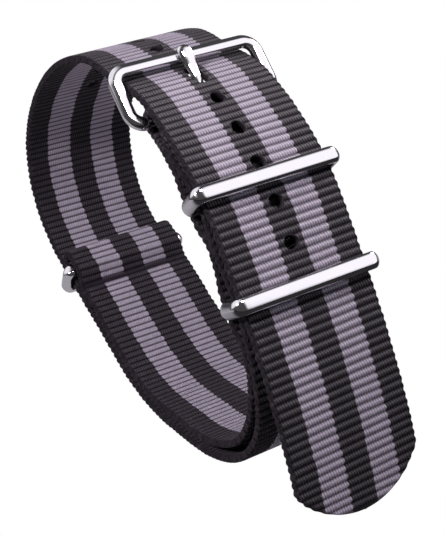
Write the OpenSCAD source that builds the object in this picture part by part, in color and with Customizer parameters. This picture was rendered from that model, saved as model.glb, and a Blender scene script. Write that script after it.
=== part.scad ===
// One-piece pull-through watch strap of ribbed nylon webbing with polished steel hardware.
// It is buckled shut and stands on the tip of its tail and on the bottom of its loop.
// X runs across the webbing, Y from the buckle side to the rear, Z up. The floor is Z = 0.

/* [Webbing] */
// Width of the webbing
webbing_w = 20; // [18:1:24]
// Thickness of the webbing
webbing_t = 1.2; // [1:0.1:1.3]
// Radius of the arc that rounds the tip of the tail
tip_r = 11.5; // [11:0.5:16]
// Length of the tail below the straight front
tail_free_l = 28; // [27:0.5:32]
// Turn of the tail below the lower keeper
tail_turn = 17; // [12:1:20]

/* [Loop] */
// Radius of the bend at the front of the bottom
front_bend_r = 17.5; // [16.5:0.5:18.5]
// Turn of the bend at the front of the bottom
front_bend_turn = 88.5; // [87:0.5:90]
// Radius of the bottom before and behind the flat that it rests on
bottom_r = 28; // [27:0.5:29]
// Turn of the whole bottom
bottom_turn = 60.5; // [59:0.5:62]
// Length of the flat that the loop rests on
rest_l = 8; // [7:0.5:9]
// Radius of the bend at the rear of the bottom
rear_bend_r = 15.5; // [14.5:0.5:16.5]
// Turn of the bend at the rear of the bottom
rear_bend_turn = 93.5; // [92:0.5:95]
// Radius of the rear and the top
top_r = 39.5; // [38.5:0.5:40.5]
// Turn of the rear and the top
top_turn = 47; // [46:0.5:48]
// Radius of the front of the top, where the buckle lies
buckle_arc_r = 35; // [34:0.5:36]
// Distance from the buckle pin down to the straight front
pin_back = 22.9; // [22:0.1:23.5]
// Separation of the tail from the webbing under it, centre to centre
tail_lift = 1.5; // [1.45:0.05:1.6]
// Gap between the two layers round the bottom of the loop
slack = 1; // [0.6:0.1:1.2]
// How far each edge of the fold is drawn in at the pin
fold_nip = 0.9; // [0.9:0.1:1.1]
// How far the frame's free bar presses the webbing under it inward
press = 0.9; // [0.8:0.1:1]

/* [Holes] */
// Diameter of an adjustment hole
hole_d = 2; // [1.6:0.1:2.2]
// Spacing of the adjustment holes along the tail
hole_pitch = 5.5; // [5.2:0.1:5.8]
// Number of holes on the tip side of the hole in use
holes_below = 5; // [3:1:5]
// Number of holes on the loop side of the hole in use
holes_above = 7; // [3:1:7]
// Distance up from the pin to the hole that the tang goes through
tang_hole_up = 3.5; // [3.4:0.1:3.6]
// Stretched length of that hole
tang_hole_l = 4.4; // [4.3:0.1:4.6]

/* [Buckle] */
// Diameter of the pin
pin_d = 1.6; // [1.5:0.1:1.7]
// Width of the frame's bar in the plane of the frame
frame_bar_w = 1.9; // [1.8:0.1:2]
// Thickness of the frame's bar
frame_bar_t = 1.6; // [1.5:0.1:1.7]
// Radius of the frame's upper corners on the bar's centreline
frame_corner_r = 1.9; // [1.7:0.1:1.9]
// Radius of the frame's lower corners on the bar's centreline
frame_heel_r = 1.9; // [1.7:0.1:1.9]
// Distance from the pin to the free bar
free_bar_l = 8.3; // [8.2:0.1:8.6]
// Angle of the frame to the webbing at the pin
frame_tilt = 24; // [23.5:0.5:25]
// Width of the tang where it passes the hole
tang_w = 1.5; // [1.2:0.1:1.6]
// Width of the tang's tip on the free bar
tang_tip_w = 2.2; // [2:0.1:2.5]
// Thickness of the tang
tang_t = 0.9; // [0.8:0.1:1]

/* [Keepers] */
// Width of a keeper's bar along the strap
ring_bar_w = 2.4; // [2:0.1:2.6]
// Thickness of a keeper's bar
ring_bar_t = 1.5; // [1.3:0.1:1.5]
// Height of the opening of a keeper
ring_window = 2.95; // [2.9:0.05:3]
// Distance from the pin down to the upper keeper
upper_keeper_s = 15.2; // [14.8:0.1:15.6]
// Distance from the lower end of the straight front up to the lower keeper
lower_keeper_up = 3.2; // [2.8:0.1:3.4]
// Distance along the strap from the pin to the rear keeper
rear_keeper_s = 115.7; // [115:0.1:116.5]
// Length of the fold round the rear keeper's bar beyond that bar's centre
rear_fold_l = 1.8; // [1.5:0.1:2.1]

/* [Hidden] */

// Named clearances
pin_gap = 0.05;     // between the pin and what turns on it
side_gap = 0.2;     // between an edge of the webbing and a keeper
frame_gap = 0.35;   // between an edge of the webbing and the frame
layer_gap = 0.05;   // between two layers that are pressed together
tail_gap = 0.15;    // between the tail's outer face and a keeper's outer bar
flap_gap = 0.1;     // between the main webbing and the end of the second one
tang_gap = 0.12;    // between the tang and the free bar that it rests on
step_l = 1.3;       // length of a facet along the webbing

// Sizes that follow
pin_r = pin_d / 2;
wrap_r = pin_r + pin_gap + webbing_t / 2;
layer_off = webbing_t + layer_gap;
pocket_off = 2 * wrap_r;
weld_rise = 0.25;   // how much higher than half way the welded layers lie
weld_dip = (pocket_off - layer_off) / 2 - weld_rise;
inner_w = webbing_w + 2 * side_gap;
ring_pitch = ring_window + ring_bar_t;
ring_bar_in = ring_pitch - tail_lift - webbing_t / 2 - tail_gap - ring_bar_t / 2;

// Headings and steps in the plane of the loop: angles run from Y towards Z
function arc_step(r, a, t) = r * [sin(a + t) - sin(a), cos(a) - cos(a + t)];
function inward(a) = [-sin(a), cos(a)];
function total(v, i = 0) = i < len(v) ? v[i] + total(v, i + 1) : 0;
function total2(v, i = 0) = i < len(v) ? v[i] + total2(v, i + 1) : [0, 0];
front_dir = -98.5;

// The floor's direction: it touches the tip of the tail and runs on as the flat of the bottom.
// Both are measured from the lower end of the straight front.
bottom_dir = front_dir + front_bend_turn;
bottom_mid = arc_step(front_bend_r, front_dir, front_bend_turn) + bottom_r * inward(bottom_dir);
tail_dir = front_dir + tail_turn;
tail_end = arc_step(tail_free_l / tail_turn * 180 / PI, front_dir, tail_turn);
function floor_from(p) = let (v = bottom_mid - p)
    atan2(v.y, v.x) - asin((bottom_r + webbing_t / 2) / norm(v));
function tip_corner(k) = tail_end + (k * webbing_t / 2 - tail_lift) * inward(tail_dir);
floor_dir = max(floor_from(tip_corner(-1)), floor_from(tip_corner(1)));

// The loop as tangent arcs, with two straight runs solved so that it closes
arc_radii = [front_bend_r, bottom_r, bottom_r, rear_bend_r, top_r, buckle_arc_r];
arc_turns = [
    front_bend_turn, floor_dir - bottom_dir, bottom_turn - floor_dir + bottom_dir, rear_bend_turn, top_turn,
    360 - front_bend_turn - bottom_turn - rear_bend_turn - top_turn
];
function head(i) = i == 0 ? front_dir : head(i - 1) + arc_turns[i - 1];

arc_gap = total2([for (i = [0:5]) arc_step(arc_radii[i], head(i), arc_turns[i])])
    + rest_l * [cos(floor_dir), sin(floor_dir)];
rise_dir = head(3);
run_det = sin(rise_dir - front_dir);
front_run = (arc_gap.y * cos(rise_dir) - arc_gap.x * sin(rise_dir)) / run_det;
rear_run = (arc_gap.x * sin(front_dir) - arc_gap.y * cos(front_dir)) / run_det;

// Pieces of the walk as [length, turn]: from the pin once round the loop, then down the tail
function arc_piece(i) = [arc_radii[i] * arc_turns[i] * PI / 180, arc_turns[i]];
back_piece = [pin_back, pin_back / buckle_arc_r * 180 / PI];
walk = [
    back_piece, [front_run, 0], arc_piece(0), arc_piece(1), [rest_l, 0], arc_piece(2), [rear_run, 0],
    arc_piece(3), arc_piece(4), arc_piece(5), [front_run, 0], [tail_free_l, tail_turn]
];
loop_l = total([for (i = [1:9]) walk[i][0]]);
strap_l = loop_l + pin_back + front_run + tail_free_l;

// Stations of the lower keeper, of the welds and of the ends of the layers, from the pin along the strap
lower_keeper_s = pin_back + front_run - lower_keeper_up;
keeper_half_l = (lower_keeper_s - upper_keeper_s) / 2;
weld_1 = upper_keeper_s / 2;
weld_2 = upper_keeper_s + keeper_half_l;
weld_3 = lower_keeper_s + keeper_half_l;
butt_gap = 0.4;     // between the end of the fold and the start of the second webbing
fold_end = weld_2 - butt_gap / 2;
second_start = weld_2 + butt_gap / 2;
flap_l = 7.4;       // from the end of the second webbing up to the rear keeper
rear_weld_l = 4.1;  // from the weld of that end up to the rear keeper
flap_end = rear_keeper_s - flap_l;
rear_weld = rear_keeper_s - rear_weld_l;
rear_cap = rear_keeper_s + rear_fold_l;

function piece_step(p, a, k) = abs(p[1]) < 1e-6
    ? p[0] * k * [cos(a), sin(a)]
    : arc_step(p[0] / (p[1] * PI / 180), a, p[1] * k);

pin_dir = front_dir - back_piece[1];
starts = [
    for (i = 0, p = [0, 0], a = pin_dir; i < len(walk);
         p = p + piece_step(walk[i], a, 1), a = a + walk[i][1], i = i + 1) [p, a]
];

function find(s, i = 0) = i < len(walk) - 1 && s > walk[i][0] ? find(s - walk[i][0], i + 1) : [i, s];
function heading(s) = let (f = find(s)) starts[f[0]][1] + walk[f[0]][1] * f[1] / walk[f[0]][0];
function at(s) = let (f = find(s), q = starts[f[0]]) q[0] + piece_step(walk[f[0]], q[1], f[1] / walk[f[0]][0]);
// A point beside the loop: off is positive towards the wrist
function side(s, off) = at(s) + off * inward(heading(s));

// Lengths over which the layers draw together or part
keep_open = ring_bar_w / 2 + 0.9;   // a keeper's pocket on each side of the bar's middle
weld_ramp = 0.78;                   // share of a weld's reach that slopes
weld_fade_l = 12;                   // the lowest weld's dip of the outer layer
weld_flat_l = 2;                    // the part of that dip that doesn't slope
slack_l = 14;                       // rise of the gap round the bottom
lift_l = 80;                        // rise of the tail from the loop
press_up = 10;                      // from the pin up to the middle of the pressed stretch
press_l = 9;                        // half of that stretch
flap_lead_l = 7;                    // from the start of the gap's narrowing to the flap
flap_ramp_l = 6;                    // the part of it that slopes
pocket_ramp_l = 2.8;                // opening of the rear keeper's pocket

// Offsets of the layers from the loop
function smooth(k) = let (c = min(1, max(0, k))) c * c * (3 - 2 * c);
function near(s, c, reach) = smooth((reach - abs(s - c)) / (weld_ramp * reach));
function weld_low(s) = s < weld_3
    ? near(s, weld_3, keeper_half_l - keep_open)
    : smooth((weld_3 + weld_fade_l - s) / (weld_fade_l - weld_flat_l));
function weld(s) = max(
    near(s, weld_1, weld_1 - keep_open), near(s, weld_2, keeper_half_l - keep_open), weld_low(s)
);
function lift(s) = tail_lift * smooth(1 - (loop_l - s) / lift_l)
    - press * smooth(1 - abs(s - loop_l + press_up) / press_l);
function main_off(s) = s < weld_3 + weld_fade_l ? weld_dip * weld(s) : -lift(s);
function inner_off(s) = s < weld_3
    ? pocket_off + (weld_dip + layer_off - pocket_off) * weld(s)
    : main_off(s) + layer_off + slack * smooth((s - weld_3) / slack_l);
flap_off = layer_off + flap_gap;
function wrist_off(s) = layer_off + slack
    + (flap_off - slack) * smooth((s - flap_end + flap_lead_l) / flap_ramp_l)
    + (pocket_off - layer_off) * smooth((s - rear_weld - 0.2) / pocket_ramp_l);

// Centreline points of a layer between two stations
function stations(s0, s1) =
    let (n = max(1, ceil(abs(s1 - s0) / step_l)))
    [for (i = [0:n]) s0 + (s1 - s0) * i / n];
function outer_line(s0, s1) = [for (s = stations(s0, s1)) side(s, main_off(s))];
function inner_line(s0, s1) = [for (s = stations(s0, s1)) side(s, inner_off(s))];
function wrist_line(s0, s1) = [for (s = stations(s0, s1)) side(s, wrist_off(s))];
function flap_line(s0, s1) = [for (s = stations(s0, s1)) side(s, flap_off)];
function turn_line(c, r, a0, a1) = [
    for (i = [1:11]) let (a = a0 + (a1 - a0) * i / 12) c + r * [cos(a), sin(a)]
];

// A band of even thickness along a line of points
function along(p, i) = let (v = p[min(i + 1, len(p) - 1)] - p[max(i - 1, 0)]) v / norm(v);
function beside(p, i, d) = p[i] + d * [-along(p, i).y, along(p, i).x];
function band(p, t) = concat(
    [for (i = [0:len(p) - 1]) beside(p, i, t / 2)],
    [for (i = [len(p) - 1:-1:0]) beside(p, i, -t / 2)]
);

main_line = concat(
    inner_line(fold_end, 0),
    turn_line(side(0, wrap_r), wrap_r, pin_dir + 90, pin_dir + 270),
    outer_line(0, strap_l)
);
cap_dir = heading(rear_cap);
second_line = concat(
    inner_line(second_start, flap_end - flap_lead_l - 1),
    wrist_line(flap_end - flap_lead_l, rear_cap),
    turn_line(side(rear_cap, flap_off + wrap_r), wrap_r, cap_dir + 90, cap_dir - 90),
    flap_line(rear_cap, flap_end)
);

// The stance: the floor is level
stance = -floor_dir;
function stood(p) = [p.x * cos(stance) - p.y * sin(stance), p.x * sin(stance) + p.y * cos(stance)];
outline = [for (p = band(main_line, webbing_t)) stood(p)];
rest_s = total([for (i = [0:3]) walk[i][0]]) + rest_l / 2;
floor_z = stood(side(rest_s, -webbing_t / 2)).y;
front_y = min([for (p = outline) p.x]);
rear_y = max([for (p = outline) p.x]);

// The whole strap turned into its stance, with the origin in the middle of its footprint
module stand() {
    translate([0, -(front_y + rear_y) / 2, -floor_z])
        rotate([stance, 0, 0])
            children();
}

// A place on the strap: X across, Y back along it, Z outward
module place(s, off) {
    p = side(s, off);
    translate([0, p.x, p.y])
        rotate([heading(s) + 180, 0, 0])
            children();
}

module slab(w) {
    rotate([90, 0, 90])
        linear_extrude(height = w, center = true)
            children();
}

// A bar's section with rounded edges
module bar_section(w, t, r) {
    union() {
        square([w - 2 * r, t], center = true);
        square([w, t - 2 * r], center = true);
        for (i = [-1, 1], j = [-1, 1])
            translate([i * (w / 2 - r), j * (t / 2 - r)])
                circle(r = r, $fn = 24);
    }
}

// A short straight hole through one layer at a station
module layer_hole(s, off, d, l = 0) {
    h = webbing_t + 0.3;
    place(s, off) {
        for (j = l > 0 ? [-1, 1] : [0])
            translate([0, j * (l - d) / 2, 0])
                cylinder(d = d, h = h, center = true, $fn = 32);
        if (l > 0)
            cube([d, l - d, h], center = true);
    }
}

// Everything beyond the arc of the tail's tip
module tip_waste() {
    place(strap_l, -tail_lift)
        difference() {
            translate([0, tip_r / 2 - 1, 0])
                cube([webbing_w + 2, tip_r + 2, 4 * webbing_t], center = true);
            translate([0, tip_r, 0])
                cylinder(r = tip_r, h = 5 * webbing_t, center = true, $fn = 96);
        }
}

// The slot through the fold, where the tang is rolled round the pin
slot_w = tang_w + 1;
slot_down = 2.6;    // from the pin down to the slot's round end
slot_up = 3.4;

module roll_slot() {
    h = 2 * wrap_r + webbing_t + 0.2;
    place(0, wrap_r) {
        translate([-slot_w / 2, -slot_down, -h / 2])
            cube([slot_w, slot_down + slot_up, h]);
        translate([0, -slot_down, 0])
            cylinder(d = slot_w, h = h, center = true, $fn = 32);
    }
}

// The edges of the fold drawn in towards the pin, in full from nip_full down to it
nip_up = 2.4;       // from the pin up to the end of what is drawn in
nip_full = 1.5;
nip_down = 8.4;
nip_step = 1.2;
fold_zone = concat(
    [for (s = [-nip_up:nip_step:nip_down]) side(s < 0 ? s + loop_l : s, -webbing_t / 2 - 0.15)],
    [for (s = [nip_down:-nip_step:-nip_up]) side(s < 0 ? s + loop_l : s, pocket_off + 1.5)]
);
nip_shape = [
    [-fold_nip, 2 * nip_up], [-fold_nip, -nip_full], [0, 1 - nip_down], [2, 1 - nip_down], [2, 2 * nip_up]
];

module fold_trim() {
    intersection() {
        slab(webbing_w + 2)
            polygon(fold_zone);
        place(0, wrap_r)
            for (sx = [-1, 1])
                linear_extrude(height = webbing_w, center = true)
                    polygon([for (p = nip_shape) [sx * (webbing_w / 2 + p.x), p.y]]);
    }
}

// The melted line that joins two layers
weld_line_w = 1.2;
weld_line_t = 0.5;

module weld_patch(s, off) {
    place(s, off)
        cube([webbing_w - 1, weld_line_w, weld_line_t], center = true);
}

module main_strap() {
    color([0.16, 0.15, 0.17])
        stand()
            difference() {
                union() {
                    slab(webbing_w)
                        polygon(band(main_line, webbing_t));
                    weld_patch(weld_1, weld_dip + layer_off / 2);
                    weld_patch(weld_2 - 1, weld_dip + layer_off / 2);
                }
                tip_waste();
                fold_trim();
                roll_slot();
                for (i = [-holes_above:holes_below])
                    let (s = loop_l - tang_hole_up + i * hole_pitch)
                        layer_hole(s, -lift(s), hole_d, i == 0 ? tang_hole_l : 0);
            }
}

module secondary_strap() {
    color([0.2, 0.19, 0.21])
        stand()
            union() {
                slab(webbing_w)
                    polygon(band(second_line, webbing_t));
                weld_patch(rear_weld, flap_off + layer_off / 2);
            }
}

// The frame lies in its own plane: Y from the pin to the free bar, Z outward
frame_edge_r = 0.6;

module frame_place() {
    place(0, wrap_r)
        rotate([frame_tilt, 0, 0])
            children();
}

module frame_bar(l) {
    linear_extrude(height = l, center = true)
        bar_section(frame_bar_w, frame_bar_t, frame_edge_r);
}

module frame_corner(sx, y, r, a) {
    translate([sx * (arm_x - r), y, 0])
        rotate([0, 0, sx > 0 ? a : 90 - a])
            rotate_extrude(angle = 90, $fn = 96)
                translate([r, 0])
                    bar_section(frame_bar_w, frame_bar_t, frame_edge_r);
}

arm_x = webbing_w / 2 + frame_gap + frame_bar_w / 2;
arm_l = free_bar_l - frame_corner_r - frame_heel_r;
heel_x = webbing_w / 2 - fold_nip + 0.15;
pin_l = 2 * (arm_x - 1);

module buckle_frame() {
    color([0.82, 0.81, 0.83])
        stand()
            frame_place()
                difference() {
                    union() {
                        translate([0, free_bar_l, 0])
                            rotate([90, 0, 90])
                                frame_bar(2 * (arm_x - frame_corner_r));
                        for (sx = [-1, 1]) {
                            frame_corner(sx, free_bar_l - frame_corner_r, frame_corner_r, 0);
                            translate([sx * arm_x, frame_heel_r + arm_l / 2, 0])
                                rotate([90, 0, 0])
                                    frame_bar(arm_l);
                            frame_corner(sx, frame_heel_r, frame_heel_r, 270);
                            translate([sx * (heel_x + arm_x - frame_heel_r) / 2, 0, 0])
                                rotate([90, 0, 90])
                                    frame_bar(arm_x - frame_heel_r - heel_x);
                        }
                    }
                    rotate([0, 90, 0])
                        cylinder(r = pin_r, h = pin_l, center = true, $fn = 48);
                }
}

module pivot_pin() {
    color([0.7, 0.69, 0.71])
        stand()
            place(0, wrap_r)
                rotate([0, 90, 0])
                    cylinder(r = pin_r, h = pin_l, center = true, $fn = 48);
}

// The tang's side view: up from the roll, through the hole and over the free bar
roll_r = pin_r + pin_gap + tang_t;
tang_rise = frame_bar_t / 2 + tang_gap + tang_t / 2;
function on_frame(y, z) = [
    y * cos(frame_tilt) - z * sin(frame_tilt), y * sin(frame_tilt) + z * cos(frame_tilt)
];
tang_over = 1.15;   // length of the tang past the middle of the free bar
tang_hook = 0.36;   // drop of its tip
tang_line = concat(
    [[1, 0.5], [1.95, 1.6], [2.95, 2.55], [3.9, 3.05], [5, 3.42]],
    [
        for (p = [[-1.2, -0.08], [-0.5, 0], [0.3, 0], [0.8, -0.13], [tang_over, -tang_hook]])
            on_frame(free_bar_l + p.x, tang_rise + p.y)
    ]
);

// The tang's outline from above, with a rounded tip
neck_y = 4.2;       // where the tang widens towards its tip
bar_y = on_frame(free_bar_l, tang_rise).x;
tip_y = on_frame(free_bar_l + tang_over, tang_rise - tang_hook).x - tang_tip_w / 2;
tang_plan = concat(
    [[-tang_tip_w / 2, bar_y - 0.4], [-tang_w / 2, neck_y], [-tang_w / 2, -1]],
    [[tang_w / 2, -1], [tang_w / 2, neck_y], [tang_tip_w / 2, bar_y - 0.4]],
    [for (a = [0:15:180]) [0, tip_y] + tang_tip_w / 2 * [cos(a), sin(a)]]
);

module buckle_tang() {
    color([0.86, 0.85, 0.87])
        stand()
            place(0, wrap_r)
                difference() {
                    union() {
                        rotate([0, 90, 0])
                            cylinder(r = roll_r, h = tang_w, center = true, $fn = 48);
                        intersection() {
                            slab(tang_tip_w)
                                polygon(band(tang_line, tang_t));
                            linear_extrude(height = 4 * free_bar_l, center = true)
                                polygon(tang_plan);
                        }
                    }
                    rotate([0, 90, 0])
                        cylinder(r = pin_r + pin_gap, h = 5, center = true, $fn = 48);
                }
}

// A keeper ring: its inner bar lies at the origin, its outer bar at Z = ring_pitch
ring_edge_r = 0.7;
ring_corner_r = 0.3 + ring_bar_t / 2;
ring_x = inner_w / 2 + ring_bar_t / 2;

module ring_bar(l) {
    linear_extrude(height = l, center = true)
        bar_section(ring_bar_t, ring_bar_w, ring_edge_r);
}

// A ring with square ends, its four corners bent
module bent_ring() {
    for (z = [0, ring_pitch])
        translate([0, 0, z])
            rotate([0, 90, 0])
                ring_bar(2 * (ring_x - ring_corner_r));
    for (sx = [-1, 1]) {
        translate([sx * ring_x, 0, ring_pitch / 2])
            ring_bar(ring_pitch - 2 * ring_corner_r);
        for (top = [0, 1])
            translate([sx * (ring_x - ring_corner_r), 0, top ? ring_pitch - ring_corner_r : ring_corner_r])
                rotate([90, 0, 0])
                    rotate([0, 0, sx > 0 ? (top ? 0 : 270) : (top ? 90 : 180)])
                        rotate_extrude(angle = 90, $fn = 64)
                            translate([ring_corner_r, 0])
                                bar_section(ring_bar_t, ring_bar_w, ring_edge_r);
    }
}

// Seen from outside, its ends are half round
module keeper_ring() {
    end_x = ring_x + ring_bar_t / 2 - ring_bar_w / 2;
    intersection() {
        bent_ring();
        translate([0, 0, -ring_bar_t])
            linear_extrude(height = ring_pitch + 2 * ring_bar_t) {
                square([2 * end_x, ring_bar_w], center = true);
                for (sx = [-1, 1])
                    translate([sx * end_x, 0])
                        circle(d = ring_bar_w, $fn = 48);
            }
    }
}

module keeper_upper() {
    color([0.84, 0.83, 0.85])
        stand()
            place(upper_keeper_s, ring_bar_in)
                keeper_ring();
}

module keeper_lower() {
    color([0.84, 0.83, 0.85])
        stand()
            place(lower_keeper_s, ring_bar_in)
                keeper_ring();
}

module keeper_rear() {
    color([0.78, 0.77, 0.79])
        stand()
            place(rear_keeper_s, flap_off + wrap_r)
                keeper_ring();
}

main_strap();
secondary_strap();
buckle_frame();
pivot_pin();
buckle_tang();
keeper_upper();
keeper_lower();
keeper_rear();
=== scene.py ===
"""Looks of a pull-through watch strap: ribbed nylon webbing and polished steel in a white studio."""

import math

import bmesh
import bpy
import numpy as np
from mathutils import Matrix, Vector

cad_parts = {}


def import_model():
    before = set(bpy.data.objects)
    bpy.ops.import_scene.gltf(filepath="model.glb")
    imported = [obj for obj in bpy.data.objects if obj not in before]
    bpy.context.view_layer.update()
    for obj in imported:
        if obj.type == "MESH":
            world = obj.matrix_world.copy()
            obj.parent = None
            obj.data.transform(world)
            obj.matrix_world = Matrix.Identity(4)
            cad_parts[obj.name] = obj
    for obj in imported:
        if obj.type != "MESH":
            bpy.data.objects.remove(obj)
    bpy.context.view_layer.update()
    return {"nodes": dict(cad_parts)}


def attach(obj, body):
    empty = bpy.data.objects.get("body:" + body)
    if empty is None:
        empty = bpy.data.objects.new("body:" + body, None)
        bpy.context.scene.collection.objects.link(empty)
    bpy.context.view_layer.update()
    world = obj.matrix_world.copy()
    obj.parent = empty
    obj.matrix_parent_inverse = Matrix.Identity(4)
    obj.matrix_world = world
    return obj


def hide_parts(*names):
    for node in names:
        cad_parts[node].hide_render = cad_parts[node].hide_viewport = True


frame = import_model()
MM = 0.001

# The section of the strap, in millimetres and degrees, with the values of the part's source
WIDTH, THICK, TIP_R = 20.0, 1.2, 11.5
TAIL_FREE, TAIL_TURN = 28.0, 17.0
FRONT_DIR, FRONT_R, FRONT_TURN = -98.5, 17.5, 88.5
BOTTOM_R, BOTTOM_TURN, REST = 28.0, 60.5, 8.0
REAR_R, REAR_TURN = 15.5, 93.5
TOP_R, TOP_TURN = 39.5, 47.0
BUCKLE_R, PIN_BACK = 35.0, 22.9
HOLE_D, HOLE_PITCH, HOLES_BELOW, HOLES_ABOVE = 2.0, 5.5, 5, 7
HOLE_UP, HOLE_L = 3.5, 4.4
PIN_R = 0.8
BAR_W, BAR_T, CORNER_R, HEEL_R, FREE_BAR, TILT = 1.9, 1.6, 1.9, 1.9, 8.3, 24.0
TANG_W, TANG_TIP, TANG_T, TANG_OVER, TANG_HOOK = 1.5, 2.2, 0.9, 1.15, 0.36
RING_W, RING_T, RING_BEND, WINDOW = 2.4, 1.5, 0.3, 2.95
UPPER_S, LOWER_UP, REAR_S, REAR_FOLD = 15.2, 3.2, 115.7, 1.8
FLAP_L, REAR_WELD_L, BUTT_GAP = 7.4, 4.1, 0.4

# Clearances
PIN_GAP, SIDE_GAP, FRAME_GAP, LAYER_GAP = 0.05, 0.2, 0.35, 0.05
TAIL_GAP, FLAP_GAP, TANG_GAP, HEEL_GAP = 0.15, 0.1, 0.12, 0.15

# How far the layers lift, press, part and draw in, and the lengths over which they do
TAIL_LIFT, LIFT_L = 1.5, 80.0
PRESS, PRESS_UP, PRESS_L = 0.9, 10.0, 9.0
SLACK, SLACK_L = 1.0, 14.0
WELD_RISE, WELD_RAMP, WELD_FADE, WELD_FLAT = 0.25, 0.78, 12.0, 2.0
FLAP_LEAD, FLAP_RAMP, POCKET_FLAT, POCKET_RAMP = 7.0, 6.0, 0.2, 2.8
NIP, NIP_END, NIP_RAMP = 0.9, 9.5, 6.0

# Sizes that follow
WRAP_R = PIN_R + PIN_GAP + THICK / 2
LAYER = THICK + LAYER_GAP
POCKET = 2 * WRAP_R
DIP = (POCKET - LAYER) / 2 - WELD_RISE
FLAP = LAYER + FLAP_GAP
RING_PITCH = WINDOW + RING_T
RING_IN = RING_PITCH - TAIL_LIFT - THICK / 2 - TAIL_GAP - RING_T / 2
RING_X = WIDTH / 2 + SIDE_GAP + RING_T / 2


# The walk round the loop, in its own plane, with headings from Y towards Z
def cosd(a):
    return math.cos(math.radians(a))


def sind(a):
    return math.sin(math.radians(a))


def course(a):
    return np.array([cosd(a), sind(a)])


def inward(a):
    return np.array([-sind(a), cosd(a)])


def arc_step(r, a, t):
    return r * np.array([sind(a + t) - sind(a), cosd(a) - cosd(a + t)])


def smooth(k):
    c = min(1.0, max(0.0, k))
    return c * c * (3 - 2 * c)


def solve_floor():
    """The direction of the floor, which touches the tip of the tail and the flat of the bottom."""
    bottom_mid = arc_step(FRONT_R, FRONT_DIR, FRONT_TURN) + BOTTOM_R * inward(FRONT_DIR + FRONT_TURN)
    tail_end = arc_step(TAIL_FREE / math.radians(TAIL_TURN), FRONT_DIR, TAIL_TURN)
    floors = []
    for face in (-1, 1):
        tip = (face * THICK / 2 - TAIL_LIFT) * inward(FRONT_DIR + TAIL_TURN)
        span = bottom_mid - tail_end - tip
        dip = math.asin((BOTTOM_R + THICK / 2) / np.hypot(*span))
        floors.append(math.degrees(math.atan2(span[1], span[0]) - dip))
    return max(floors)


def solve_walk(floor_dir):
    """The walk round the loop and down the tail as [length, turn] pieces, closed by two straight runs."""
    low = FRONT_DIR + FRONT_TURN
    radii = [FRONT_R, BOTTOM_R, BOTTOM_R, REAR_R, TOP_R, BUCKLE_R]
    turns = [FRONT_TURN, floor_dir - low, BOTTOM_TURN - floor_dir + low, REAR_TURN, TOP_TURN]
    turns.append(360 - FRONT_TURN - BOTTOM_TURN - REAR_TURN - TOP_TURN)
    heads = FRONT_DIR + np.concatenate([[0], np.cumsum(turns)])
    gap = sum(arc_step(r, a, t) for r, a, t in zip(radii, heads, turns))
    gap = gap + REST * course(floor_dir)
    rise = heads[3]
    det = sind(rise - FRONT_DIR)
    front = (gap[1] * cosd(rise) - gap[0] * sind(rise)) / det
    rear = (gap[0] * sind(FRONT_DIR) - gap[1] * cosd(FRONT_DIR)) / det
    arcs = [[r * math.radians(t), t] for r, t in zip(radii, turns)]
    back = [PIN_BACK, math.degrees(PIN_BACK / BUCKLE_R)]
    walk = [back, [front, 0], arcs[0], arcs[1], [REST, 0], arcs[2], [rear, 0]]
    return walk + arcs[3:] + [[front, 0], [TAIL_FREE, TAIL_TURN]]


FLOOR_DIR = solve_floor()
WALK = solve_walk(FLOOR_DIR)
LOOP_L = sum(piece[0] for piece in WALK[1:10])
STRAP_L = sum(piece[0] for piece in WALK)
PIN_DIR = FRONT_DIR - WALK[0][1]

# Stations of the lower keeper, the welds and the ends of the layers
LOWER_S = PIN_BACK + WALK[1][0] - LOWER_UP
HALF_S = (LOWER_S - UPPER_S) / 2
WELD_1, WELD_2, WELD_3 = UPPER_S / 2, UPPER_S + HALF_S, LOWER_S + HALF_S
FOLD_END, SECOND_START = WELD_2 - BUTT_GAP / 2, WELD_2 + BUTT_GAP / 2
FLAP_END, REAR_WELD, REAR_CAP = REAR_S - FLAP_L, REAR_S - REAR_WELD_L, REAR_S + REAR_FOLD
KEEP_OPEN = RING_W / 2 + 0.9


def walk_step(piece, a, share):
    length, turn = piece
    if abs(turn) < 1e-6:
        return length * share * course(a)
    return arc_step(length / math.radians(turn), a, turn * share)


def walk_starts():
    """The place and the heading where each piece of the walk starts."""
    starts, place, head = [], np.zeros(2), PIN_DIR
    for piece in WALK:
        starts.append((place, head))
        place, head = place + walk_step(piece, head, 1), head + piece[1]
    return starts


STARTS = walk_starts()


def find(s):
    """The piece of the walk that a station is on, and the distance along that piece."""
    i = 0
    while i < len(WALK) - 1 and s > WALK[i][0]:
        s -= WALK[i][0]
        i += 1
    return i, s


def heading(s):
    i, rest = find(s)
    return STARTS[i][1] + WALK[i][1] * rest / WALK[i][0]


def side(s, off):
    """A point beside the walk, where off is positive towards the wrist."""
    i, rest = find(s)
    place, head = STARTS[i]
    return place + walk_step(WALK[i], head, rest / WALK[i][0]) + off * inward(heading(s))


# Offsets of the layers from the walk
def near(s, middle, reach):
    return smooth((reach - abs(s - middle)) / (WELD_RAMP * reach))


def weld(s):
    """How far the layers are drawn together, from 0 in a pocket to 1 at a weld."""
    if s < WELD_3:
        low = near(s, WELD_3, HALF_S - KEEP_OPEN)
    else:
        low = smooth((WELD_3 + WELD_FADE - s) / (WELD_FADE - WELD_FLAT))
    return max(near(s, WELD_1, WELD_1 - KEEP_OPEN), near(s, WELD_2, HALF_S - KEEP_OPEN), low)


def lift(s):
    """How far the tail stands off the loop, less where the free bar presses it down."""
    pressed = PRESS * smooth(1 - abs(s - LOOP_L + PRESS_UP) / PRESS_L)
    return TAIL_LIFT * smooth(1 - (LOOP_L - s) / LIFT_L) - pressed


def main_off(s):
    return DIP * weld(s) if s < WELD_3 + WELD_FADE else -lift(s)


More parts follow.
